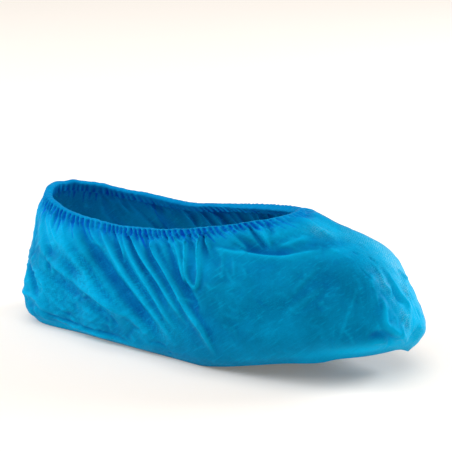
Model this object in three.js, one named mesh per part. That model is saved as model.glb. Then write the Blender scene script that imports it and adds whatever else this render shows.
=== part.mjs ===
// A disposable overshoe of thin blue film, in the shape that it keeps over a work boot: hollow, with a
// flat sole and a raised toe, a gathered hem round the opening, and the elastic in the hem. The film of
// the side and of the sole is one sheet, made here as two solids so that the hollow stays open.
// Millimetres, +Z up, floor at Z = 0. The toe points to -Y, the heel to +Y, the wearer's right to -X.
import * as THREE from "three";

// Overall size of the worn cover.
const LENGTH = 312; // toe tip to heel
const WIDTH = 124; // across the ball of the foot
const HEIGHT = 105; // floor to the highest point of the hem, on the instep

// Sole: flat from the heel to the ball of the foot, then lifting to the toe.
const TOE_SPRING = 21;
const LIFT_START = -0.05; // where the lift begins, as a share of LENGTH
const LIFT_POWER = 1.3; // how softly it begins
const EDGE_RADIUS = 8; // where the side of the film turns under the sole
const SOLE_SPINE = 0.34; // half length of the line in the middle of the sole, as a share of LENGTH

// Film, hem and elastic.
const FILM_WALL = 1.4;
const HEM_HEIGHT = 9;
const HEM_WALL = 1;
const HEM_FLAP = 7; // how far the folded-in layer of the hem comes down inside
const ELASTIC_RADIUS = 1.1;
const CLEARANCE = 0.4; // left between pieces that touch on the real cover

// Gathers that the elastic draws: fine ones in the hem, and fewer and wider pleats that fade below it.
const GATHERS = 84;
const GATHER_DEPTH = 1.2;
const PLEATS = 56;
const PLEAT_DEPTH = 2.4;
const PLEAT_REACH = 28;

// Height and half width of a fold whose height and width are 1 in the table of folds.
const FOLD_HEIGHT = 5;
const FOLD_WIDTH = 10;

// One row for each station round the cover, from the toe tip over the wearer's right side to the heel
// and back over the left side. x is a share of WIDTH, y of LENGTH and z of HEIGHT. edge is the outline
// of the sole, belly the widest line of the side, shoulder the line where the side turns inwards, vamp
// a line half way from there to the hem, and rim the top of the hem.
const STATIONS = [
  { at: "toe tip", edge: [0.07, -0.48], belly: [0.08, -0.5, 0.37], shoulder: [0.06, -0.435, 0.68],
    vamp: [0.04, -0.33, 0.87], rim: [0.02, -0.2, 1] },
  { at: "toe corner, right", edge: [-0.16, -0.44], belly: [-0.18, -0.455, 0.37],
    shoulder: [-0.15, -0.4, 0.69], vamp: [-0.13, -0.305, 0.86], rim: [-0.13, -0.175, 0.99] },
  { at: "toe side, right", edge: [-0.32, -0.34], belly: [-0.38, -0.345, 0.38], shoulder: [-0.33, -0.3, 0.65],
    vamp: [-0.28, -0.215, 0.81], rim: [-0.24, -0.1, 0.95] },
  { at: "ball, right", edge: [-0.44, -0.13], belly: [-0.5, -0.15, 0.35], shoulder: [-0.43, -0.12, 0.6],
    vamp: [-0.38, -0.065, 0.75], rim: [-0.33, 0.02, 0.89] },
  { at: "waist, right", edge: [-0.42, 0.05], belly: [-0.45, 0.05, 0.31], shoulder: [-0.42, 0.07, 0.55],
    vamp: [-0.38, 0.1, 0.7], rim: [-0.33, 0.15, 0.845] },
  { at: "heel side, right", edge: [-0.375, 0.27], belly: [-0.4, 0.27, 0.27], shoulder: [-0.38, 0.28, 0.53],
    vamp: [-0.35, 0.29, 0.71], rim: [-0.31, 0.31, 0.87] },
  { at: "heel corner, right", edge: [-0.31, 0.455], belly: [-0.3, 0.46, 0.25], shoulder: [-0.28, 0.44, 0.56],
    vamp: [-0.25, 0.425, 0.75], rim: [-0.22, 0.41, 0.915] },
  { at: "heel", edge: [0, 0.49], belly: [0, 0.5, 0.25], shoulder: [0, 0.485, 0.58],
    vamp: [0, 0.475, 0.78], rim: [0, 0.46, 0.95] },
  { at: "heel corner, left", edge: [0.3, 0.45], belly: [0.3, 0.46, 0.25], shoulder: [0.28, 0.44, 0.56],
    vamp: [0.25, 0.425, 0.75], rim: [0.22, 0.41, 0.915] },
  { at: "heel side, left", edge: [0.37, 0.27], belly: [0.39, 0.27, 0.27], shoulder: [0.37, 0.28, 0.53],
    vamp: [0.34, 0.29, 0.71], rim: [0.3, 0.31, 0.87] },
  { at: "waist, left", edge: [0.39, 0.05], belly: [0.43, 0.05, 0.31], shoulder: [0.41, 0.07, 0.55],
    vamp: [0.37, 0.1, 0.7], rim: [0.32, 0.15, 0.845] },
  { at: "ball, left", edge: [0.46, -0.17], belly: [0.5, -0.17, 0.35], shoulder: [0.43, -0.14, 0.6],
    vamp: [0.37, -0.075, 0.75], rim: [0.32, 0.02, 0.89] },
  { at: "toe side, left", edge: [0.44, -0.35], belly: [0.46, -0.36, 0.37], shoulder: [0.38, -0.32, 0.66],
    vamp: [0.3, -0.225, 0.82], rim: [0.24, -0.1, 0.95] },
  { at: "toe corner, left", edge: [0.29, -0.45], belly: [0.28, -0.475, 0.37], shoulder: [0.25, -0.41, 0.69],
    vamp: [0.19, -0.31, 0.87], rim: [0.15, -0.175, 0.99] },
];

// One row for each fold of the film. from and to are its ends, and by a place that it bends towards:
// how far round, as a share of a turn from the toe tip, and how far down, as a share of the way from
// the top of the hem to the sole. A height below zero is a trough.
const FOLDS = [
  { from: [0.41, 0.25], by: [0.375, 0.56], to: [0.305, 0.8], width: 1.1, height: 0.6 },
  { from: [0.375, 0.12], by: [0.35, 0.55], to: [0.285, 0.84], width: 1.1, height: 0.8 },
  { from: [0.345, 0.12], by: [0.32, 0.5], to: [0.27, 0.84], width: 1.1, height: -0.8 },
  { from: [0.316, 0.12], by: [0.298, 0.48], to: [0.25, 0.88], width: 1, height: 0.8 },
  { from: [0.29, 0.12], by: [0.277, 0.48], to: [0.236, 0.82], width: 0.9, height: -0.7 },
  { from: [0.27, 0.12], by: [0.257, 0.48], to: [0.217, 0.94], width: 1, height: 1 },
  { from: [0.25, 0.12], by: [0.246, 0.3], to: [0.232, 0.5], width: 0.9, height: -0.6 },
  { from: [0.23, 0.12], by: [0.234, 0.3], to: [0.222, 0.48], width: 0.9, height: 0.6 },
  { from: [0.19, 0.1], by: [0.19, 0.24], to: [0.18, 0.36], width: 1, height: 0.5 },
  { from: [0.165, 0.1], by: [0.165, 0.28], to: [0.135, 0.33], width: 1, height: -0.9 },
  { from: [0.15, 0.3], by: [0.1, 0.34], to: [0.03, 0.37], width: 1, height: -0.8 },
  { from: [0.17, 0.42], by: [0.11, 0.42], to: [0.03, 0.48], width: 1.3, height: 0.5 },
  { from: [0.105, 0.08], by: [0.12, 0.18], to: [0.14, 0.26], width: 1.3, height: -0.8 },
  { from: [0.06, 0.08], by: [0.03, 0.16], to: [0.005, 0.34], width: 1.2, height: 0.7 },
  { from: [0.085, 0.52], by: [0.1, 0.68], to: [0.12, 0.88], width: 0.9, height: 0.4 },
  { from: [0.04, 0.5], by: [0.038, 0.6], to: [0.045, 0.78], width: 0.9, height: -0.4 },
  { from: [0, 0.4], by: [0, 0.7], to: [0, 0.9], width: 0.9, height: 0.3 },
  { from: [-0.05, 0.92], by: [0, 0.94], to: [0.05, 0.92], width: 1, height: 1.2 },
  { from: [0.44, 0.3], by: [0.42, 0.45], to: [0.4, 0.62], width: 1, height: -0.5 },
  { from: [0.445, 0.7], by: [0.43, 0.78], to: [0.4, 0.84], width: 1, height: -0.7 },
  { from: [0.5, 0.16], by: [0.5, 0.5], to: [0.5, 0.92], width: 1, height: 0.4 },
  { from: [0.62, 0.14], by: [0.65, 0.5], to: [0.71, 0.84], width: 1.1, height: 0.8 },
  { from: [0.65, 0.14], by: [0.68, 0.5], to: [0.735, 0.84], width: 1, height: -0.7 },
  { from: [0.68, 0.12], by: [0.71, 0.48], to: [0.765, 0.88], width: 1, height: 0.8 },
  { from: [0.74, 0.14], by: [0.75, 0.45], to: [0.79, 0.8], width: 1, height: 0.7 },
  { from: [0.835, 0.1], by: [0.83, 0.3], to: [0.87, 0.34], width: 1, height: -0.7 },
];

// Fineness of the faceted solids.
const BODY_COLUMNS = 2 * PLEATS;
const COLUMN_LEAN = 0.07; // as a share of a turn
const BODY_ROWS = 15;
const SOLE_ROWS = 2;
const SOLE_BRIDGE = 0.4; // share of the way to the spine that is left when the sole is bridged across
const FOLD_STEPS = 8;
const ELASTIC_COLUMNS = 84;
const ELASTIC_SIDES = 6;

const point = (x, y, z) => new THREE.Vector3(x, y, z);
const loopThrough = (places) => new THREE.CatmullRomCurve3(places, true, "centripetal");
const stationLoop = (line) =>
  loopThrough(STATIONS.map(({ [line]: [x, y, z] }) => point(x * WIDTH, y * LENGTH, z * HEIGHT)));

function soleLift(y) {
  const start = LIFT_START * LENGTH;
  const share = THREE.MathUtils.clamp((start - y) / (start + LENGTH / 2), 0, 1);
  return TOE_SPRING * Math.sin((Math.PI / 2) * share) ** LIFT_POWER;
}

const RIM = stationLoop("rim");
const SIDE_LOOPS = [RIM, stationLoop("vamp"), stationLoop("shoulder"), stationLoop("belly")];
const EDGE = loopThrough(
  STATIONS.map(({ edge: [x, y] }) => point(x * WIDTH, y * LENGTH, soleLift(y * LENGTH) + EDGE_RADIUS)),
);

// The place on the spine of the sole that a place on its outline looks towards.
function spinePlace(edge) {
  const reach = SOLE_SPINE * LENGTH;
  const y = THREE.MathUtils.clamp(edge.y, -reach, reach);
  return point(0, y, soleLift(y));
}

// The line where the side of the film comes down on the sole.
function sideFoot(edge) {
  const spine = spinePlace(edge);
  const inwards = EDGE_RADIUS / Math.hypot(edge.x - spine.x, edge.y - spine.y);
  const foot = edge.clone().lerp(spine, inwards);
  foot.z = soleLift(foot.y);
  return foot;
}

// The line down the film at a place round the cover, from the top of the hem to the foot of the side.
function sideLine(around) {
  const edge = EDGE.getPoint(around);
  const stops = SIDE_LOOPS.map((loop) => loop.getPoint(around));
  return new THREE.CatmullRomCurve3([...stops, edge, sideFoot(edge)], false, "centripetal");
}

// Places down the film in one column: the side below the hem, then the sole. On both sides the column
// leans to the toe on its way down, as the folds do.
function columnPlaces(start) {
  const leaning = (down) => start - COLUMN_LEAN * Math.sin(2 * Math.PI * start) * down;
  const side = Array.from({ length: BODY_ROWS }, (_, row) => {
    const share = row / (BODY_ROWS - 1);
    const line = sideLine(leaning(share));
    const length = line.getLength();
    const top = (HEM_HEIGHT + CLEARANCE) / length;
    const down = THREE.MathUtils.lerp(top, 1, share);
    return { at: line.getPointAt(down), depth: (down - top) * length, onSide: share < 1 };
  });
  const foot = side.at(-1).at;
  const spine = spinePlace(EDGE.getPoint(leaning(1)));
  const soleEdge = CLEARANCE / foot.distanceTo(spine);
  const sole = Array.from({ length: SOLE_ROWS }, (_, row) => {
    const share = THREE.MathUtils.lerp(soleEdge, 1 - SOLE_BRIDGE, row / (SOLE_ROWS - 1));
    const at = foot.clone().lerp(spine, share);
    at.z = soleLift(at.y);
    return { at, onSide: false };
  });
  return [...side, ...sole];
}

// The columns of places round the cover, each place with the outward direction of the film there. From
// the foot of the side on it is straight down, so that the side and the sole end in upright edges.
function filmColumns() {
  const columns = Array.from({ length: BODY_COLUMNS }, (_, c) => columnPlaces(c / BODY_COLUMNS));
  const outwardAt = (column, c, r) => {
    const before = columns[(c + BODY_COLUMNS - 1) % BODY_COLUMNS][r].at;
    const after = columns[(c + 1) % BODY_COLUMNS][r].at;
    const above = column[Math.max(r - 1, 0)].at;
    const below = column[r + 1].at;
    return after.clone().sub(before).cross(below.clone().sub(above)).normalize();
  };
  return columns.map((column, c) =>
    column.map((place, r) => ({ ...place, outward: place.onSide ? outwardAt(column, c, r) : point(0, 0, -1) })),
  );
}

// Each fold as a chain of straight steps over the film.
const FOLD_CHAINS = FOLDS.map(({ from, by, to, width, height }) => {
  const path = new THREE.QuadraticBezierCurve(...[from, by, to].map((place) => new THREE.Vector2(...place)));
  const places = path.getPoints(FOLD_STEPS).map((place) => sideLine(place.x).getPointAt(place.y));
  const steps = places.slice(1).map((place, s) => new THREE.Line3(places[s], place));
  return { steps, reach: width * FOLD_WIDTH, height: height * FOLD_HEIGHT };
});

// How far one fold lifts the film at a place: rounded across, and fading to both ends.
function foldRelief({ steps, reach, height }, at) {
  let nearest = reach;
  let share = 0;
  const closest = point(0, 0, 0);
  steps.forEach((step, s) => {
    const distance = step.closestPointToPoint(at, true, closest).distanceTo(at);
    if (distance < nearest) {
      nearest = distance;
      share = (s + step.closestPointToPointParameter(at, true)) / steps.length;
    }
  });
  return height * Math.sqrt(Math.sin(Math.PI * share)) * Math.cos((Math.PI / 2) * (nearest / reach)) ** 2;
}

// How far the film of the side stands out from its plain form: pleats under the hem, and folds.
function relief({ at, depth, onSide }, column) {
  if (!onSide) {
    return 0;
  }
  const fade = Math.max(0, 1 - depth / PLEAT_REACH);
  const pleat = ((column % 2 ? PLEAT_DEPTH : -PLEAT_DEPTH) / 2) * fade;
  const folds = FOLD_CHAINS.reduce((sum, fold) => sum + foldRelief(fold, at), 0);
  return pleat + folds * (1 - fade);
}

function meshOf(name, vertices, triangles, material) {
  const geometry = new THREE.BufferGeometry().setFromPoints(vertices);
  geometry.setIndex(triangles.flat());
  geometry.computeVertexNormals();
  const mesh = new THREE.Mesh(geometry, material);
  mesh.name = name;
  return mesh;
}

// A stretch of the film as a closed shell: an outer and an inner layer of places, joined along the edge
// of the first row, and either along that of the last row too, or bridged across inside the last row.
function filmShell(name, columns, bridged, material) {
  const rows = columns[0].length;
  const outer = columns.flatMap((column, c) =>
    column.map((place) => place.at.clone().addScaledVector(place.outward, relief(place, c))),
  );
  const inner = outer.map((place, i) =>
    place.clone().addScaledVector(columns[Math.floor(i / rows)][i % rows].outward, -FILM_WALL),
  );
  const vertexAt = (c, r) => (c % BODY_COLUMNS) * rows + r;
  const triangles = [];
  const bothLayers = (...corners) => {
    triangles.push(corners, corners.map((corner) => corner + outer.length).reverse());
  };
  // A patch with four corners is cut along its shorter diagonal.
  const patch = (a, b, c, d) => {
    const alongFirst = outer[a].distanceTo(outer[c]) < outer[b].distanceTo(outer[d]);
    const cuts = alongFirst ? [[a, b, c], [a, c, d]] : [[a, b, d], [b, c, d]];
    cuts.forEach((corners) => bothLayers(...corners));
  };
  // A strip of an edge, from the outer to the inner layer, between two neighbours on the outer layer.
  const edge = (a, b) => {
    triangles.push([a, a + outer.length, b + outer.length], [a, b + outer.length, b]);
  };
  const last = rows - 1;
  for (let c = 0; c < BODY_COLUMNS; c++) {
    for (let r = 0; r < last; r++) {
      patch(vertexAt(c, r), vertexAt(c + 1, r), vertexAt(c + 1, r + 1), vertexAt(c, r + 1));
    }
    edge(vertexAt(c, 0), vertexAt(c + 1, 0));
    if (!bridged) {
      edge(vertexAt(c + 1, last), vertexAt(c, last));
    }
  }
  // The bridge goes from each column to the one that faces it.
  for (let c = 0; bridged && c < BODY_COLUMNS / 2; c++) {
    const facing = BODY_COLUMNS - c;
    patch(vertexAt(c, last), vertexAt(c + 1, last), vertexAt(facing - 1, last), vertexAt(facing, last));
  }
  const whole = triangles.filter((corners) => new Set(corners).size === corners.length);
  return meshOf(name, [...outer, ...inner], whole, material);
}

// Places evenly spaced along the top of the hem, each with its upward and outward directions.
function rimFrames(count) {
  return Array.from({ length: count }, (_, c) => {
    const around = RIM.getUtoTmapping(c / count);
    const line = sideLine(around);
    const at = line.getPoint(0);
    const up = at.clone().sub(line.getPointAt(HEM_HEIGHT / line.getLength())).normalize();
    const out = up.clone().cross(RIM.getTangent(around)).normalize();
    return { at, up, out };
  });
}

// A ring round the opening, with a closed section of [out, up] corners at each frame.
function ringMesh(name, frames, sectionAt, material) {
  const vertices = frames.flatMap(({ at, up, out }, c) =>
    sectionAt(c).map(([o, u]) => at.clone().addScaledVector(out, o).addScaledVector(up, u)),
  );
  const sides = sectionAt(0).length;
  const corner = (c, s) => (c % frames.length) * sides + (s % sides);
  const triangles = frames.flatMap((_, c) =>
    Array.from({ length: sides }, (_, s) => [
      [corner(c, s), corner(c, s + 1), corner(c + 1, s + 1)],
      [corner(c, s), corner(c + 1, s + 1), corner(c + 1, s)],
    ]).flat(),
  );
  return meshOf(name, vertices, triangles, material);
}

// Where the elastic lies in the fold of the hem, and how wide the fold is round it.
const ELASTIC_INSET = HEM_WALL + CLEARANCE + ELASTIC_RADIUS;
const HEM_WIDTH = 2 * ELASTIC_INSET;
const HEM_CHAMFER = HEM_WALL;

// The hem: the film goes up outside, over the elastic, and a little way down again inside. Its gathers
// grow from nothing at the top to their full depth at the foot.
function gatheredHem(material) {
  const corners = [
    [0, -HEM_HEIGHT],
    [0, -HEM_CHAMFER],
    [-HEM_CHAMFER, 0],
    [HEM_CHAMFER - HEM_WIDTH, 0],
    [-HEM_WIDTH, -HEM_CHAMFER],
    [-HEM_WIDTH, -HEM_FLAP],
    [HEM_WALL - HEM_WIDTH, -HEM_FLAP],
    [HEM_WALL - HEM_WIDTH, -HEM_WALL],
    [-HEM_WALL, -HEM_WALL],
    [-HEM_WALL, -HEM_HEIGHT],
  ];
  const sectionAt = (c) =>
    corners.map(([out, up]) => {
      const depth = (GATHER_DEPTH / 2) * (up / HEM_HEIGHT) ** 2;
      return [out + (c % 2 ? depth : -depth), up];
    });
  return ringMesh("gathered_hem", rimFrames(2 * GATHERS), sectionAt, material);
}

function elasticBand(material) {
  const section = Array.from({ length: ELASTIC_SIDES }, (_, s) => {
    const turn = (2 * Math.PI * s) / ELASTIC_SIDES;
    return [ELASTIC_RADIUS * Math.cos(turn) - ELASTIC_INSET, ELASTIC_RADIUS * Math.sin(turn) - ELASTIC_INSET];
  });
  return ringMesh("elastic_band", rimFrames(ELASTIC_COLUMNS), () => section, material);
}

const film = new THREE.MeshStandardMaterial({ name: "blue film", color: 0x0a8fcb, roughness: 0.45 });
const hemFilm = new THREE.MeshStandardMaterial({ name: "gathered film", color: 0x0a7cc8, roughness: 0.5 });
const rubber = new THREE.MeshStandardMaterial({ name: "elastic", color: 0xd9dcda, roughness: 0.8 });

const columns = filmColumns();
const sideColumns = columns.map((column) => column.slice(0, BODY_ROWS));
const soleColumns = columns.map((column) => column.slice(BODY_ROWS));

const shoeCover = new THREE.Group();
shoeCover.add(
  filmShell("film_side", sideColumns, false, film),
  filmShell("film_sole", soleColumns, true, film),
  gatheredHem(hemFilm),
  elasticBand(rubber),
);

export default shoeCover;
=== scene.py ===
import math
from typing import NamedTuple

import bpy
import numpy as np
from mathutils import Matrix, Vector


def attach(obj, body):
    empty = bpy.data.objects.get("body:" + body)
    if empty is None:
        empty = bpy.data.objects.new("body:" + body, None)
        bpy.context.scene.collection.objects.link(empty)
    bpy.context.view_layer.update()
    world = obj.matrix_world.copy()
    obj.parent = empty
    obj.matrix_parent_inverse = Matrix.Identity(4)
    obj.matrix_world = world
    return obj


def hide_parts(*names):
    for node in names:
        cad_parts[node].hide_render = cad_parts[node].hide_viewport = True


# A disposable overshoe of thin blue film in its worn form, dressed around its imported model: the film as
# one sheet with the folds of the photograph, the gathered hem, and the elastic in the hem.
# The tables of the cover are in millimetres. The meshes, the camera and the lamps are in metres. The toe
# points to -Y, the wearer's right to -X, and +Z is up.
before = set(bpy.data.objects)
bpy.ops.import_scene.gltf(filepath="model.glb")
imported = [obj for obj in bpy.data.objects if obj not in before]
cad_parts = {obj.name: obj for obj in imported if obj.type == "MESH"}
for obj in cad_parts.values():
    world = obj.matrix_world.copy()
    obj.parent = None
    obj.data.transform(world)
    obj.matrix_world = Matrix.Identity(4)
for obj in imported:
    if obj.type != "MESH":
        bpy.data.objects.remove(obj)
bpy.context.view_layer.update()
MM = 0.001

# The worn form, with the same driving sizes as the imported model.
LENGTH, WIDTH, HEIGHT = 312, 124, 105
TOE_SPRING, LIFT_START, LIFT_POWER = 21, -0.05, 1.3
EDGE_RADIUS = 8
SOLE_SPINE = 0.34
HEM_HEIGHT, HEM_FLAP, HEM_WIDTH = 9, 7, 5

# One row for each station round the cover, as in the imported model. It has places on the rim, the vamp, the
# shoulder, the belly and the outline of the sole, with x as a share of WIDTH, y of LENGTH and z of HEIGHT.
STATIONS = {
    "toe tip": (
     (0.02, -0.2, 1), (0.04, -0.33, 0.87), (0.06, -0.435, 0.68), (0.08, -0.5, 0.37), (0.07, -0.48)),
    "toe corner, right": (
     (-0.13, -0.175, 0.99), (-0.13, -0.305, 0.86), (-0.15, -0.4, 0.69),
     (-0.18, -0.455, 0.37), (-0.16, -0.44)),
    "toe side, right": (
     (-0.24, -0.1, 0.95), (-0.28, -0.215, 0.81), (-0.33, -0.3, 0.65), (-0.38, -0.345, 0.38), (-0.32, -0.34)),
    "ball, right": (
     (-0.33, 0.02, 0.89), (-0.38, -0.065, 0.75), (-0.43, -0.12, 0.6), (-0.5, -0.15, 0.35), (-0.44, -0.13)),
    "waist, right": (
     (-0.33, 0.15, 0.845), (-0.38, 0.1, 0.7), (-0.42, 0.07, 0.55), (-0.45, 0.05, 0.31), (-0.42, 0.05)),
    "heel side, right": (
     (-0.31, 0.31, 0.87), (-0.35, 0.29, 0.71), (-0.38, 0.28, 0.53), (-0.4, 0.27, 0.27), (-0.375, 0.27)),
    "heel corner, right": (
     (-0.22, 0.41, 0.915), (-0.25, 0.425, 0.75), (-0.28, 0.44, 0.56), (-0.3, 0.46, 0.25), (-0.31, 0.455)),
    "heel": ((0, 0.46, 0.95), (0, 0.475, 0.78), (0, 0.485, 0.58), (0, 0.5, 0.25), (0, 0.49)),
    "heel corner, left": (
     (0.22, 0.41, 0.915), (0.25, 0.425, 0.75), (0.28, 0.44, 0.56), (0.3, 0.46, 0.25), (0.3, 0.45)),
    "heel side, left": (
     (0.3, 0.31, 0.87), (0.34, 0.29, 0.71), (0.37, 0.28, 0.53), (0.39, 0.27, 0.27), (0.37, 0.27)),
    "waist, left": (
     (0.32, 0.15, 0.845), (0.37, 0.1, 0.7), (0.41, 0.07, 0.55), (0.43, 0.05, 0.31), (0.39, 0.05)),
    "ball, left": (
     (0.32, 0.02, 0.89), (0.37, -0.075, 0.75), (0.43, -0.14, 0.6), (0.5, -0.17, 0.35), (0.46, -0.17)),
    "toe side, left": (
     (0.24, -0.1, 0.95), (0.3, -0.225, 0.82), (0.38, -0.32, 0.66), (0.46, -0.36, 0.37), (0.44, -0.35)),
    "toe corner, left": (
     (0.15, -0.175, 0.99), (0.19, -0.31, 0.87), (0.25, -0.41, 0.69), (0.28, -0.475, 0.37), (0.29, -0.45)),
}


class Fold(NamedTuple):
    """A fold of the film. height is how far it stands out, or goes in where below zero. left and right
    are how far it reaches on each side of its way, seen from outside, and soft is 0 for a crisp crest
    and 1 for a round one. A place on the way is how far round the cover, as a share of a turn from the
    toe tip over the wearer's right, and how far down, as a share from the top of the hem to the sole.
    fade is the share of the way over which the fold grows at its start and dies at its end."""

    height: float
    left: float
    right: float
    soft: float
    way: tuple
    fade: tuple = (0.3, 0.35)


# The end fades of a fold that starts in the gathers of the hem.
FROM_HEM = (0.08, 0.4)

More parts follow.
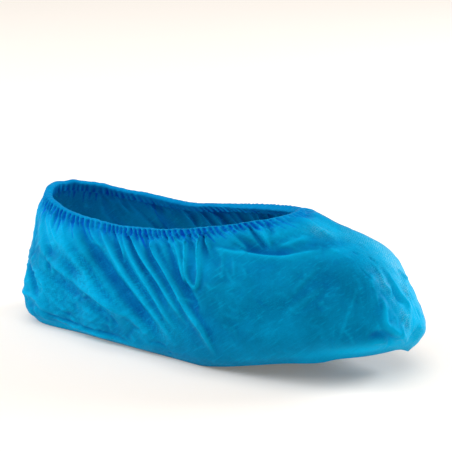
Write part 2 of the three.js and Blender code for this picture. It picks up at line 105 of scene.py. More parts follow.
# Chosen from the photograph, in which the wearer's right is the near side.
NEAR_FOLDS = [
    # Heel and the broad slanting folds of the side, from the heel to the ball of the foot.
    Fold(-1.8, 6, 6, 0.5, ((0.42, 0.05), (0.405, 0.24), (0.39, 0.36), (0.375, 0.44)), FROM_HEM),
    Fold(1.4, 3, 3.5, 0.1, ((0.402, 0.05), (0.39, 0.19), (0.375, 0.29)), FROM_HEM),
    Fold(3, 9, 5, 0.25,
         ((0.425, 0.28), (0.385, 0.43), (0.36, 0.51), (0.33, 0.6), (0.305, 0.69), (0.285, 0.81))),
    Fold(-1.6, 6, 5, 0.5, ((0.4, 0.5), (0.37, 0.58), (0.34, 0.68), (0.315, 0.78))),
    Fold(3.2, 6, 11, 0.3,
         ((0.395, 0.13), (0.37, 0.26), (0.35, 0.4), (0.335, 0.54), (0.318, 0.67), (0.3, 0.77))),
    Fold(-5, 10, 8, 0.45,
         ((0.35, 0.05), (0.336, 0.26), (0.322, 0.42), (0.307, 0.56), (0.29, 0.7), (0.272, 0.86)),
         (0.12, 0.35)),
    Fold(2.8, 4, 8, 0.1,
         ((0.318, 0.05), (0.315, 0.24), (0.306, 0.39), (0.29, 0.56), (0.274, 0.7),
          (0.26, 0.87)), FROM_HEM),
    Fold(-1.8, 4, 4, 0.35, ((0.308, 0.05), (0.306, 0.28), (0.292, 0.47), (0.275, 0.63)), FROM_HEM),
    Fold(1.6, 3, 3, 0.1, ((0.302, 0.05), (0.303, 0.2), (0.308, 0.35)), FROM_HEM),
    Fold(2.6, 4, 6, 0.08,
         ((0.295, 0.05), (0.296, 0.24), (0.286, 0.44), (0.271, 0.62), (0.255, 0.77)), FROM_HEM),
    Fold(-2, 4, 4, 0.35, ((0.29, 0.05), (0.289, 0.28), (0.276, 0.48), (0.264, 0.61)), FROM_HEM),
    Fold(2.6, 5, 5, 0.08,
         ((0.284, 0.05), (0.285, 0.22), (0.276, 0.38), (0.26, 0.57), (0.244, 0.72)), FROM_HEM),
    Fold(-2.6, 5, 5, 0.4, ((0.266, 0.05), (0.272, 0.25), (0.263, 0.44), (0.246, 0.64)), FROM_HEM),
    Fold(4.6, 3.5, 9, 0.04,
         ((0.257, 0.09), (0.264, 0.22), (0.26, 0.39), (0.25, 0.54), (0.234, 0.69), (0.216, 0.93)),
         (0.1, 0.3)),
    Fold(-2.2, 3, 5, 0.35, ((0.236, 0.05), (0.248, 0.24), (0.251, 0.38), (0.244, 0.52)), FROM_HEM),
    Fold(-2.6, 5, 4, 0.4, ((0.249, 0.4), (0.244, 0.5), (0.236, 0.6))),
    Fold(2.2, 3, 3, 0.1, ((0.222, 0.05), (0.236, 0.2), (0.245, 0.34), (0.247, 0.44)), FROM_HEM),
    Fold(-1.2, 3, 3, 0.3, ((0.415, 0.77), (0.39, 0.84), (0.36, 0.86), (0.33, 0.87), (0.3, 0.91))),
    Fold(0.9, 3, 3, 0.1, ((0.405, 0.82), (0.37, 0.88), (0.33, 0.91), (0.29, 0.94))),
    # The droop under the hem: a hanging loop of film.
    Fold(2.4, 3, 3, 0.12,
         ((0.207, 0.06), (0.223, 0.17), (0.239, 0.31), (0.242, 0.41), (0.237, 0.45), (0.23, 0.38),
          (0.222, 0.28), (0.2, 0.11)), (0.1, 0.1)),
    Fold(-2, 4, 4, 0.5, ((0.203, 0.05), (0.221, 0.21), (0.235, 0.38)), FROM_HEM),
    Fold(2.6, 3, 4, 0.1, ((0.187, 0.05), (0.204, 0.15), (0.219, 0.27), (0.224, 0.35)), FROM_HEM),
    Fold(-2, 3, 3, 0.3, ((0.184, 0.05), (0.199, 0.15), (0.213, 0.29)), FROM_HEM),
    Fold(2.6, 3, 3, 0.1, ((0.176, 0.04), (0.191, 0.12), (0.201, 0.22)), FROM_HEM),
    Fold(0.6, 2.5, 2.5, 0.3, ((0.192, 0.25), (0.202, 0.35), (0.21, 0.43))),
    Fold(0.5, 2.5, 2.5, 0.3, ((0.182, 0.27), (0.191, 0.36), (0.199, 0.44))),
    Fold(0.5, 4, 5, 0.4, ((0.235, 0.44), (0.21, 0.46), (0.18, 0.45))),
    # The crease over the instep: a dent under the hem that ends on a lit lip.
    Fold(-3.8, 13, 3, 0.35,
         ((0.17, 0.14), (0.16, 0.23), (0.145, 0.28), (0.128, 0.3), (0.11, 0.305)), (0.25, 0.35)),
    Fold(2, 2.5, 9, 0.1,
         ((0.195, 0.19), (0.177, 0.245), (0.155, 0.285), (0.13, 0.325), (0.11, 0.33), (0.09, 0.325),
          (0.065, 0.335)), (0.1, 0.45)),
    Fold(3.2, 3, 6, 0.08, ((0.157, 0.05), (0.159, 0.12), (0.161, 0.2), (0.163, 0.27)), FROM_HEM),
    Fold(-3.4, 4, 3, 0.25, ((0.12, 0.03), (0.13, 0.11), (0.136, 0.2), (0.137, 0.26)), FROM_HEM),
    Fold(2, 4, 6, 0.06, ((0.104, 0.03), (0.117, 0.12), (0.127, 0.19), (0.132, 0.25)), FROM_HEM),
    Fold(-2, 4, 4, 0.3, ((0.09, 0.03), (0.1, 0.1), (0.112, 0.18)), FROM_HEM),
    Fold(1.7, 5, 6, 0.06, ((0.135, 0.24), (0.11, 0.24), (0.088, 0.23), (0.06, 0.2))),
    # The vamp and the toe.
    Fold(3, 5, 7, 0.1,
         ((0.035, 0.02), (0.03, 0.1), (0.033, 0.17), (0.03, 0.23), (0.015, 0.28)), FROM_HEM),
    Fold(1.4, 5, 6, 0.2, ((-0.04, 0.04), (-0.03, 0.16), (-0.035, 0.3)), FROM_HEM),
    Fold(0.5, 1.8, 2.2, 0.1, ((0.074, 0.56), (0.094, 0.66), (0.11, 0.76), (0.125, 0.87))),
    Fold(0.7, 5, 5, 0.2, ((0.115, 0.55), (0.14, 0.6), (0.17, 0.69))),
    Fold(0.6, 4, 4, 0.2, ((0.1, 0.42), (0.135, 0.5), (0.16, 0.58))),
    Fold(1.6, 5, 3, 0.02, ((0.024, 0.47), (0.028, 0.55), (0.034, 0.6), (0.031, 0.64), (0.044, 0.7))),
    Fold(2.4, 6, 4, 0.02,
         ((0, 0.48), (0.014, 0.57), (0.016, 0.65), (0.011, 0.72), (0.024, 0.79), (0.022, 0.86)),
         (0.25, 0.2)),
    Fold(-1.8, 3, 3, 0.2, ((0.022, 0.6), (0.024, 0.67), (0.021, 0.72))),
    Fold(1.5, 3, 4, 0.02, ((0.019, 0.73), (0.03, 0.79), (0.038, 0.835), (0.022, 0.89)), (0.2, 0.2)),
    Fold(1.8, 4, 5, 0.02, ((-0.03, 0.56), (-0.027, 0.62), (-0.005, 0.66), (-0.015, 0.73))),
    Fold(3.2, 9, 5, 0.02,
         ((0.05, 0.64), (0.054, 0.71), (0.06, 0.78), (0.051, 0.82), (0.034, 0.87), (0.005, 0.95)),
         (0.25, 0.12)),
    Fold(-3, 5, 6, 0.4, ((0.088, 0.84), (0.07, 0.83), (0.053, 0.87), (0.035, 0.92))),
    Fold(1, 2.5, 2.5, 0.1, ((0.08, 0.86), (0.062, 0.88), (0.05, 0.91))),
    # The back of the heel.
    Fold(-3.4, 8, 5, 0.3, ((0.465, 0.46), (0.44, 0.53), (0.42, 0.58), (0.407, 0.68), (0.4, 0.76))),
    Fold(-3.2, 5, 5, 0.4, ((0.525, 0.66), (0.49, 0.7), (0.455, 0.7), (0.43, 0.66))),
    Fold(1.8, 4, 5, 0.12, ((0.45, 0.7), (0.425, 0.74), (0.41, 0.73), (0.395, 0.8))),
    Fold(1.4, 3, 4, 0.12, ((0.45, 0.05), (0.44, 0.25), (0.425, 0.4)), FROM_HEM),
]
MIDDLE_FOLDS = [
    Fold(0.9, 3, 3, 0.2, ((0.5, 0.12), (0.5, 0.5), (0.5, 0.94))),
]

RANDOM_START = 38

# Fineness of the meshes.
FORM_COLUMNS, FORM_ROWS, LINE_STEPS = 1440, 240, 160
COLUMNS, SIDE_ROWS, SOLE_ROWS, BRIDGE_ROWS = 760, 113, 8, 10
HEM_COLUMNS, FOLD_POINTS = 1200, 48
LEAST_GAP = 1e-4
# How far the film's columns lean towards the toe or heel on their way down, as a share of a turn.
COLUMN_LEAN = 0.07
# The share of the way across the sole that the last rows bridge.
SOLE_BRIDGE = 0.4
# How far the film goes up behind the hem.
TUCK = 1
# About how long the film is round the belly and down the side.
ROUND_LENGTH, SIDE_LENGTH = 760, 120
# The length of the cut film, in metres round the cover.
CUT_ROUND = 0.78

# How the folds show. Those with a softness below CRISP have a painted highlight line on their crest, which
# is
# CREST_WIDTH wide and full from a height of CREST_FULL. LEAST_ROUND keeps the crispest crests from a point.
CRISP, CREST_WIDTH, CREST_FULL, LEAST_ROUND = 0.13, 1.3, 2, 0.02
# A stage is where something starts to grow, or has ended, and how long that takes. It is in millimetres
# below the rim where nothing else is said. The folds grow out of the hem, first FOLD_NECK of their width.
FOLDS_GROW, FOLDS_WIDEN, FOLD_NECK = (3.5, 6), (5, 20), 0.35
# The elastic holds the film out: how far in a fold may go beside it, and how much more for each
# millimetre further down.
HELD_IN, HELD_SLOPE = 1.1, 1.2

# The gathers that the elastic draws: drops right under the top of the hem with ribs between them, and
# fewer, wider pleats that go on below.
GATHERS, GATHERS_UNEVEN = 118, 0.35
PLEATS, PLEATS_UNEVEN = 58, 0.4
# How far the gathers lean towards the heel for each millimetre down, on the sides.
GATHER_SLANT = 0.5
DROP_DEPTH, DROP_DEPTHS = 1.3, (0.6, 1.2)
# How far down a drop or pleat goes: the least, how much more the longest has, and how few are long.
DROP_REACH, PLEAT_REACH = (10, 12, 1.4), (15, 22, 1.5)
DROP_GROWS, DROP_FADE, DROP_ROUND = (0.8, 1.8), 0.5, 1.2
# The width of a drop, as a share of a gather: at the top, what it gains and what it loses again.
DROP_WIDTHS, DROP_WIDENS, DROP_NARROWS = (0.42, 0.4, 0.4), (1, 3), (7, 10)
# For each band its height, the stage in which it grows and the one in which it ends.
RIB_BAND = 0.9, (0.4, 1.5), (13, 7)
PLEAT_HEIGHT, PLEAT_HEIGHTS, PLEAT_SHARPNESS = 2.4, (0.5, 1.3), 0.8
PLEAT_GROWS, PLEAT_FULL_TO = (2.5, 6), 7
# The film is drawn in right under the elastic and stands out below that.
NECK_BAND = -0.5, (5, 2.5), (12, 4)
BALLOON_BAND = 1.4, (8, 8), (36, 22)
# The gathers are lower at the front of the opening. This stage is in shares of the way round the hem.
CALM_LEAST, CALM_ENDS = 0.35, (0.02, 0.06)


def smooth(share):
    """0 to 1 with no corner at either end."""
    share = np.clip(share, 0, 1)
    return share * share * (3 - 2 * share)


def grown(value, stage):
    """0 up to where a stage starts, and 1 from where it is over."""
    start, length = stage
    return smooth((value - start) / length)


def ended(value, stage):
    """1 up to a stage's length before its end, and 0 from its end."""
    end, length = stage
    return smooth((end - value) / length)


def gap(a, b):
    """The spacing of two places on a centripetal curve."""
    return np.maximum(((a - b) ** 2).sum(-1, keepdims=True) ** 0.25, LEAST_GAP)


def band(depth, height, grows, ends):
    """A raised band that grows in one stage and ends in another."""
    return height * grown(depth, grows) * ended(depth, ends)


def between(before, start, end, after, share):
    """A point on the centripetal Catmull-Rom curve between start and end."""
    first, middle, last = gap(before, start), gap(start, end), gap(end, after)
    step = (end - start) / middle
    leave = ((start - before) / first - (end - before) / (first + middle) + step) * middle
    reach = (step - (after - start) / (middle + last) + (after - end) / last) * middle
    s = share[..., None]
    return (
        start + leave * s + (-3 * start + 3 * end - 2 * leave - reach) * s**2
        + (2 * start - 2 * end + leave + reach) * s**3
    )


def on_loop(places, around):
    """Points on the closed curve through places."""
    places = np.array(places, float)
    count = len(places)
    along = (np.asarray(around, float) % 1) * count
    first = np.floor(along).astype(int)
    corners = [places[(first + k) % count] for k in (-1, 0, 1, 2)]
    return between(*corners, along - first)


def on_line(places, share):
    """Points on the open curves through places, an array of (curves, places, 3)."""
    count = places.shape[-2]
    ends = [2 * places[..., :1, :] - places[..., 1:2, :], 2 * places[..., -1:, :] - places[..., -2:-1, :]]
    padded = np.concatenate([ends[0], places, ends[1]], -2)
    along = np.clip(share, 0, 1) * (count - 1)
    first = np.minimum(np.floor(along).astype(int), count - 2)
    corners = [np.take_along_axis(padded, (first + k)[..., None].repeat(3, -1), -2) for k in range(4)]
    return between(*corners, along - first)


def sole_lift(y):
    """The height of the sole over the floor, which rises at the toe."""
    start = LIFT_START * LENGTH
    share = np.clip((start - y) / (start + LENGTH / 2), 0, 1)
    return TOE_SPRING * np.sin(np.pi / 2 * share) ** LIFT_POWER


def station_places(shares):
    """The places of one station, from the rim down."""
    *upper, (x, y) = shares
    edge = (x * WIDTH, y * LENGTH, sole_lift(y * LENGTH) + EDGE_RADIUS)
    return [(x * WIDTH, y * LENGTH, z * HEIGHT) for x, y, z in upper] + [edge]


class Form:
    """The plain worn form: places and outward directions by (around, down)."""

    def __init__(self):
        around = np.arange(FORM_COLUMNS) / FORM_COLUMNS
        stops = [on_loop(line, around) for line in zip(*map(station_places, STATIONS.values()))]
        edge = stops[-1]
        spine_y = np.clip(edge[:, 1], -SOLE_SPINE * LENGTH, SOLE_SPINE * LENGTH)
        self.spine = np.stack([0 * spine_y, spine_y, sole_lift(spine_y)], -1)
        inwards = EDGE_RADIUS / np.hypot(edge[:, 0], edge[:, 1] - spine_y)
        foot = edge + (self.spine - edge) * inwards[:, None]
        foot[:, 2] = sole_lift(foot[:, 1])
        shares = np.linspace(0, 1, LINE_STEPS)[None].repeat(FORM_COLUMNS, 0)
        lines = on_line(np.stack([*stops, foot], 1), shares)
        steps = np.linalg.norm(np.diff(lines, axis=1), axis=2)
        lengths = np.concatenate([np.zeros((FORM_COLUMNS, 1)), np.cumsum(steps, 1)], 1)
        self.length = lengths[:, -1]
        down = np.linspace(0, 1, FORM_ROWS)
        self.places = np.empty((FORM_COLUMNS, FORM_ROWS, 3))
        for column in range(FORM_COLUMNS):
            for axis in range(3):
                at = down * self.length[column]
                self.places[column, :, axis] = np.interp(at, lengths[column], lines[column, :, axis])
        round_step = np.roll(self.places, -1, 0) - np.roll(self.places, 1, 0)
        down_step = np.gradient(self.places, axis=1)
        outward = np.cross(round_step, down_step)
        self.outward = outward / np.linalg.norm(outward, axis=2, keepdims=True)
        rim_steps = np.linalg.norm(np.roll(self.places[:, 0], -1, 0) - self.places[:, 0], axis=1)
        self.rim_length = rim_steps.sum()
        self.rim_share = np.concatenate([[0], np.cumsum(rim_steps)]) / self.rim_length
        self.turns = np.arange(FORM_COLUMNS + 1) / FORM_COLUMNS

    def _read(self, table, around, down):
        along = (around % 1) * FORM_COLUMNS
        first = np.floor(along).astype(int) % FORM_COLUMNS
        deep = np.clip(down, 0, 1) * (FORM_ROWS - 1)
        upper = np.minimum(np.floor(deep).astype(int), FORM_ROWS - 2)
        a = (along - np.floor(along))[..., None]
        d = (deep - upper)[..., None]
        second = (first + 1) % FORM_COLUMNS
        above = table[first, upper] * (1 - a) + table[second, upper] * a
        below = table[first, upper + 1] * (1 - a) + table[second, upper + 1] * a
        return above * (1 - d) + below * d

    def at(self, around, down):
        return self._read(self.places, around, down)

    def out(self, around, down):
        found = self._read(self.outward, around, down)
        return found / np.linalg.norm(found, axis=-1, keepdims=True)

    def _round(self, column_values, around):
        """Reads a list that has one value for each column and closes round the cover."""
        return np.interp(around % 1, self.turns, np.append(column_values, column_values[0]))

    def side_length(self, around):
        return self._round(self.length, around)

    def spine_at(self, around):
        return np.stack([self._round(self.spine[:, axis], around) for axis in range(3)], -1)

    def along_rim(self, around):
        """The share of the way round the hem, for a place round the cover."""
        return np.interp(around % 1, self.turns, self.rim_share)

    def around_at(self, rim_share):
        """The place round the cover, for a share of the way round the hem."""
        return np.interp(rim_share % 1, self.rim_share, self.turns)


form = Form()
rng = np.random.default_rng(RANDOM_START)


def wander(places, pitch, waves=28):
    """A smooth random height of about 1, with bumps of about pitch millimetres."""
    turns = rng.normal(size=(waves, 3)) * (2 * np.pi / pitch) / np.sqrt(3)
    starts = rng.uniform(0, 2 * np.pi, waves)
    total = np.zeros(places.shape[:-1])
    for turn, start in zip(turns, starts):
        total += np.sin(places @ turn + start)
    return total / np.sqrt(waves / 2)


# A crease of crushed film has one of FACET_PITCHES and bends by FACET_BEND of it. The bumps in which it
# bends and shows are so many pitches wide, and are made of WAVES waves.
FACET_BEND, FACET_PITCHES, BEND_PITCH, SHOWN_PITCH, WAVES = 0.1, (0.8, 1.8), 4, 2.5, 6


def crushed(places, pitch, creases=6):
    """Flat facets between crisp, nearly straight creases about pitch millimetres apart, about -1 to 1."""
    total = np.zeros(places.shape[:-1])
    for _ in range(creases):
        heading = rng.normal(size=3)
        heading /= np.linalg.norm(heading)
        bent = FACET_BEND * wander(places, BEND_PITCH * pitch, WAVES)
        turn = places @ heading / (pitch * rng.uniform(*FACET_PITCHES)) + rng.uniform() + bent
        shown = smooth(0.5 + wander(places, SHOWN_PITCH * pitch, WAVES))
        total += (4 * np.abs(turn % 1 - 0.5) - 1) * shown
    return total / math.sqrt(creases)


def way_points(way):
    """Evenly many places on the film along a fold's way, with the film's outward direction at each."""
    way = np.array(way, float)
    flat = np.concatenate([way, np.zeros((len(way), 1))], 1)
    share = np.linspace(0, 1, FOLD_POINTS)
    around, down = on_line(flat[None], share[None])[0][:, :2].T
    return form.at(around, down), form.out(around, down)


def stamp(places, fold, relief, crest_highlights, taper):
    """Adds one fold to the relief at places, and the painted highlight line along the crest of a crisp one
    to the highlight lines. taper is the share of its width that a fold has at each place."""
    points, outward = way_points(fold.way)
    reach = max(fold.left, fold.right)
    low, high = points.min(0) - reach, points.max(0) + reach
    near = np.flatnonzero(((places >= low) & (places <= high)).all(-1).ravel())
    if not len(near):
        return
    here = places.reshape(-1, 3)[near]
    nearest = np.full(len(near), np.inf)
    share = np.zeros(len(near))
    side = np.zeros(len(near))
    steps = np.diff(points, axis=0)
    for s, step in enumerate(steps):
        offset = here - points[s]
        along = np.clip(offset @ step / (step @ step), 0, 1)
        away = offset - along[:, None] * step
        distance = np.linalg.norm(away, axis=1)
        closer = distance < nearest
        nearest[closer] = distance[closer]
        share[closer] = (s + along[closer]) / len(steps)
        side[closer] = (away @ np.cross(outward[s], step))[closer]
    width = np.where(side > 0, fold.left, fold.right) * taper.ravel()[near]
    blunt = fold.soft + LEAST_ROUND
    across = np.clip((np.hypot(nearest / width, blunt) - blunt) / (math.hypot(1, blunt) - blunt), 0, 1)
    ends = smooth(share / fold.fade[0]) * smooth((1 - share) / fold.fade[1])
    relief.reshape(-1)[near] += fold.height * ends * (1 - across) ** 2 * (1 + fold.soft * across)
    if fold.height > 0 and fold.soft < CRISP:
        line = min(1, fold.height / CREST_FULL) * ends * np.exp(-((nearest / CREST_WIDTH) ** 2))
        crest_highlights.reshape(-1)[near] = np.maximum(crest_highlights.reshape(-1)[near], line)


def mirrored(fold):
    return fold._replace(left=fold.right, right=fold.left, way=tuple((1 - a, d) for a, d in fold.way))


# The hidden far side has the folds of the near side, but for those of the toe and the heel.
MIRRORED_FROM, MIRRORED_TO = 0.09, 0.45
FAR_FOLDS = [
    mirrored(fold) for fold in NEAR_FOLDS if all(MIRRORED_FROM < a < MIRRORED_TO for a, d in fold.way)
]


def uneven(count, spread):
    """count places round a turn, unevenly spaced."""
    steps = 1 + spread * rng.uniform(-1, 1, count)
    return np.concatenate([[0], np.cumsum(steps)]) / steps.sum()


def reaches(least, more, power, count):
    """count lengths from least to least + more, most of them short."""
    return least + more * rng.uniform(0, 1, count) ** power


gather_places = uneven(GATHERS, GATHERS_UNEVEN)
gather_depths = rng.uniform(*DROP_DEPTHS, GATHERS)
gather_reach = reaches(*DROP_REACH, GATHERS)
pleat_places = uneven(PLEATS, PLEATS_UNEVEN)
pleat_heights = rng.uniform(*PLEAT_HEIGHTS, PLEATS)
pleat_reach = reaches(*PLEAT_REACH, PLEATS)


def gathers(rim_share, depth):
    """How far the gathers move the film, and how deep in a drop it is, at a depth below the rim."""
    from_front = np.minimum(rim_share, 1 - rim_share)
    calm = CALM_LEAST + (1 - CALM_LEAST) * grown(from_front, CALM_ENDS)
    lean = GATHER_SLANT * np.sin(2 * np.pi * rim_share) * depth / form.rim_length
    phase = np.interp((rim_share - lean) % 1, gather_places, np.arange(GATHERS + 1))
    nearest = np.round(phase).astype(int)
    gather = nearest % GATHERS
    fall = grown(depth, DROP_GROWS) * np.clip(1 - depth / gather_reach[gather], 0, 1) ** DROP_FADE
    first, gained, lost = DROP_WIDTHS
    width = first + gained * grown(depth, DROP_WIDENS) - lost * grown(depth, DROP_NARROWS)
    across = np.clip(np.abs(phase - nearest) / width, 0, 0.5)
    drop = np.clip(np.cos(np.pi * across), 0, 1) ** DROP_ROUND * gather_depths[gather] * fall
    turn = np.interp(rim_share, pleat_places, np.arange(PLEATS + 1))
    crest = np.round(turn).astype(int)
    pleat = crest % PLEATS
    reach = pleat_reach[pleat]
    rise = grown(depth, PLEAT_GROWS) * ended(depth, (reach, reach - PLEAT_FULL_TO))
    off_crest = np.abs(np.sin(np.pi * (turn - crest)))
    ridge = (1 - off_crest**PLEAT_SHARPNESS) * pleat_heights[pleat] * rise
    wave = 0.5 + 0.5 * np.cos(2 * np.pi * (phase - nearest - 0.5))
    gathered = PLEAT_HEIGHT * ridge + wave * band(depth, *RIB_BAND) - DROP_DEPTH * drop
    return calm * gathered + band(depth, *NECK_BAND) + band(depth, *BALLOON_BAND), calm * drop


# Patches of small creases: around, down, half width, half depth, how many, height, heading in degrees
# (0 towards the heel, 90 down) and how far it strays.
CREASED = [
    (0.38, 0.62, 0.045, 0.16, 90, 0.7, 40, 90),
    (0.43, 0.4, 0.03, 0.2, 24, 0.6, 60, 60),
    (0.345, 0.78, 0.04, 0.08, 30, 0.6, 20, 60),
    (0.015, 0.62, 0.035, 0.2, 60, 0.6, 70, 60),
    (0.07, 0.7, 0.05, 0.16, 30, 0.22, 60, 40),
    (0.15, 0.6, 0.06, 0.16, 44, 0.24, 140, 20),
    (0.06, 0.2, 0.05, 0.08, 24, 0.4, 150, 50),
    (0.27, 0.6, 0.04, 0.18, 36, 0.25, 120, 20),
    (0.2, 0.36, 0.025, 0.08, 16, 0.35, 100, 40),
    (0.5, 0.55, 0.06, 0.24, 50, 0.6, 60, 90),
    (0.62, 0.6, 0.05, 0.2, 50, 0.5, 60, 60),
    (0.75, 0.55, 0.08, 0.24, 60, 0.3, 70, 40),
    (0.9, 0.55, 0.06, 0.22, 50, 0.4, 90, 60),
]
# The creases' lengths, widths to each side, shares of the patch's height, softness and bend, and how far
# down the side their middles lie.
CREASE_LENGTHS, CREASE_WIDTHS, CREASE_HEIGHTS = (5, 20), (1.6, 3.5), (0.4, 1.1)
CREASE_SOFT, CREASE_BEND, CREASE_DOWN = 0.12, 0.3, (0.16, 0.92)


def small_creases():
    """Short seeded creases in the patches of CREASED. One in three goes in."""
    found = []
    for around, down, wide, deep, count, height, heading, stray in CREASED:
        for _ in range(count):
            turn = math.radians(heading + stray * rng.uniform(-1, 1))
            half = rng.uniform(*CREASE_LENGTHS) / 2
            middle = np.array([
                around + wide * rng.normal(), np.clip(down + deep * rng.normal(), *CREASE_DOWN)
            ])
            along, below = math.cos(turn) * half, math.sin(turn) * half
            step = np.array([along / ROUND_LENGTH, below / SIDE_LENGTH])
            bend = np.array([-below / ROUND_LENGTH, along / SIDE_LENGTH])
            bend *= CREASE_BEND * np.clip(rng.normal(), -1, 1)
            way = (middle - step, middle + bend, middle + step)
            rise = height * rng.uniform(*CREASE_HEIGHTS) * rng.choice([1, 1, -1])
            widths = rng.uniform(*CREASE_WIDTHS), rng.uniform(*CREASE_WIDTHS)
            found.append(Fold(rise, *widths, CREASE_SOFT, way))
    return found


def blurred(grid, reach):
    """A grid that closes round the cover, averaged over reach cells each way, twice."""
    span = range(-reach, reach + 1)
    for _ in range(2):
        grid = sum(np.roll(grid, k, 0) for k in span) / len(span)
        padded = np.pad(grid, [(0, 0), (reach, reach)], "edge")
        grid = sum(padded[:, reach + k : reach + k + grid.shape[1]] for k in span) / len(span)
    return grid


def bump(around, down, middle, half):
    """1 at the middle of a patch and 0 well outside it."""
    turned = (around - middle[0] + 0.5) % 1 - 0.5
    return np.exp(-((turned / half[0]) ** 2) - ((down - middle[1]) / half[1]) ** 2)


def hill(around, middle, half, height):
    """A smooth hill on the way round the cover, from the hem to the sole."""
    return height * bump(around, 0, (middle, 0), (half, 1))


def shading(around, down, rows):
    """0 to 1, from a table of soft patches."""
    total = sum(strength * bump(around, down, (a, d), half) for a, d, *half, strength in rows)
    return np.clip(total, 0, 1)


# Soft patches of the film's look, each with around, down, half width, half depth and strength.
# CLOSE_AND_SHADED is darker and greener, partly where it lies close on what it is worn over and partly
# painted shade. PAINTED_LIGHT_PATCHES is painted light, where the film stands free and looks lighter.
# GLOSS_AND_GLINTS has a gloss and painted glints on its dots, and STRETCHED has fine ripples, with painted
# sheen on them.
CLOSE_AND_SHADED = [
    (0.16, 0.58, 0.07, 0.2, 0.9),
    (0.11, 0.74, 0.05, 0.12, 0.5),
    (0.1, 0.5, 0.05, 0.16, 0.7),
    (0.24, 0.42, 0.03, 0.14, 0.6),
    (0.335, 0.3, 0.02, 0.16, 0.9),
    (0.3, 0.56, 0.025, 0.2, 0.6),
    (0.27, 0.4, 0.03, 0.2, 0.5),
    (0.41, 0.5, 0.03, 0.1, 0.4),
    (0.142, 0.23, 0.02, 0.05, 0.8),
    (0.152, 0.16, 0.018, 0.06, 0.8),
    (0.125, 0.17, 0.008, 0.06, 0.7),
    (0.262, 0.62, 0.012, 0.12, 0.7),
    (0.215, 0.6, 0.02, 0.2, 0.6),
    (0.065, 0.86, 0.015, 0.05, 0.6),
    (0.83, 0.6, 0.07, 0.22, 0.6),
    (0.67, 0.35, 0.03, 0.2, 0.6),
]
PAINTED_LIGHT_PATCHES = [
    (0, 0.75, 0.04, 0.22, 1),
    (-0.02, 0.88, 0.05, 0.14, 0.8),
    (-0.03, 0.5, 0.035, 0.2, 0.7),
    (0.1, 0.93, 0.07, 0.05, 0.5),
    (0.43, 0.7, 0.04, 0.2, 0.3),
    (0.36, 0.95, 0.07, 0.05, 0.7),
    (0.4, 0.2, 0.03, 0.12, 0.6),
    (0.222, 0.25, 0.012, 0.1, 0.5),
    (0.11, 0.16, 0.03, 0.05, 0.3),
    (0.06, 0.1, 0.05, 0.1, 0.25),
    (0.005, 0.21, 0.035, 0.1, 0.7),
    (0.07, 0.36, 0.06, 0.04, 0.4),
    (0.07, 0.93, 0.06, 0.05, 0.5),
    (0.6, 0.6, 0.05, 0.3, 0.4),
    (0.95, 0.6, 0.03, 0.3, 0.5),
]
GLOSS_AND_GLINTS = [
    (-0.06, 0.4, 0.02, 0.08, 0.6),
    (-0.035, 0.51, 0.018, 0.07, 0.8),
    (-0.005, 0.65, 0.012, 0.06, 0.5),
    (0.034, 0.6, 0.008, 0.06, 0.5),
    (0.028, 0.8, 0.008, 0.06, 0.7),
    (0.03, 0.2, 0.02, 0.05, 0.35),
    (0.5, 0.3, 0.06, 0.3, 0.2),
    (0.95, 0.5, 0.04, 0.3, 0.6),
]
STRETCHED = [
    (0.385, 0.62, 0.035, 0.18, 0.6),
    (0, 0.3, 0.03, 0.1, 0.6),
    (0.357, 0.36, 0.012, 0.08, 0.8),
    (0.344, 0.48, 0.012, 0.08, 1),
    (0.331, 0.6, 0.012, 0.08, 1),
    (0.38, 0.25, 0.015, 0.08, 0.8),
    (0.292, 0.44, 0.01, 0.1, 0.9),
    (0.02, 0.5, 0.03, 0.14, 0.8),
    (0.28, 0.75, 0.03, 0.08, 0.5),
    (0.06, 0.18, 0.04, 0.05, 0.6),
    (0.7, 0.5, 0.03, 0.2, 0.6),
]

PATCHES = {"close_shade": CLOSE_AND_SHADED, "painted_light": PAINTED_LIGHT_PATCHES, "gloss_glint": GLOSS_AND_GLINTS, "stretch": STRETCHED}

# How the toe's left corner leaves the plain form, by place and half sizes: fuller on the vamp, in over
# the tip, and a tail of loose film that hangs down and forward at the edge of the sole.
VAMP_AT, VAMP_WIDE, VAMP_OUT = (-0.05, 0.38), (0.05, 0.17), 3.4
NOSE_AT, NOSE_WIDE, NOSE_IN = (-0.05, 0.76), (0.045, 0.09), 1.5
TAIL_AT, TAIL_WIDE, TAIL_DROP, TAIL_OUT = -0.05, 0.036, 7, 3
# A small lobe of film that sags under the edge of the ball of the foot.
LOBE_AT, LOBE_WIDE, LOBE_DROP = 0.149, 0.018, 1.6
# The stages of these, and where the folds die at the edge of the sole, in shares of the way down.
TAIL_FORWARD, TAIL_HANGS, LOBE_HANGS, EDGE_CALM = (0.8, 0.2), (0.62, 0.3), (0.85, 0.15), (1, 0.08)

# Facets as in crushed film, and a slow swell, by pitch and height. They are full in the restless places
# (around, half width, strength) and have CALM_FILM of their height elsewhere. They start below the hem.
FACETS, SMALL_FACETS, SMALL_FACETS_AT_TOE = (24, 1.3), (11, 0.35), 0.3
SWELL = (55, 0.54)
TOE_RESTLESS = (0.02, 0.06, 1)
RESTLESS = [(0.43, 0.09, 1), (0.57, 0.09, 1), TOE_RESTLESS, (0.88, 0.05, 0.6)]
CALM_FILM, BELOW_HEM = 0.25, (HEM_HEIGHT, 8)
# The small unevenness of the sole by pitch and height, and its least height over the floor.
SOLE_RIPPLE, SOLE_LEAST = (14, 0.25), 0.2
# How much the film stands out of what is round it, by cells of the mesh and the height that is full.
# Painted light goes where it stands out and painted shade where it lies in.
FREE_OF, FINE_OF = (12, 3), (3, 0.8)
# The bluer tint near the hem ends in this stage.
HEM_TINT = (24, 20)


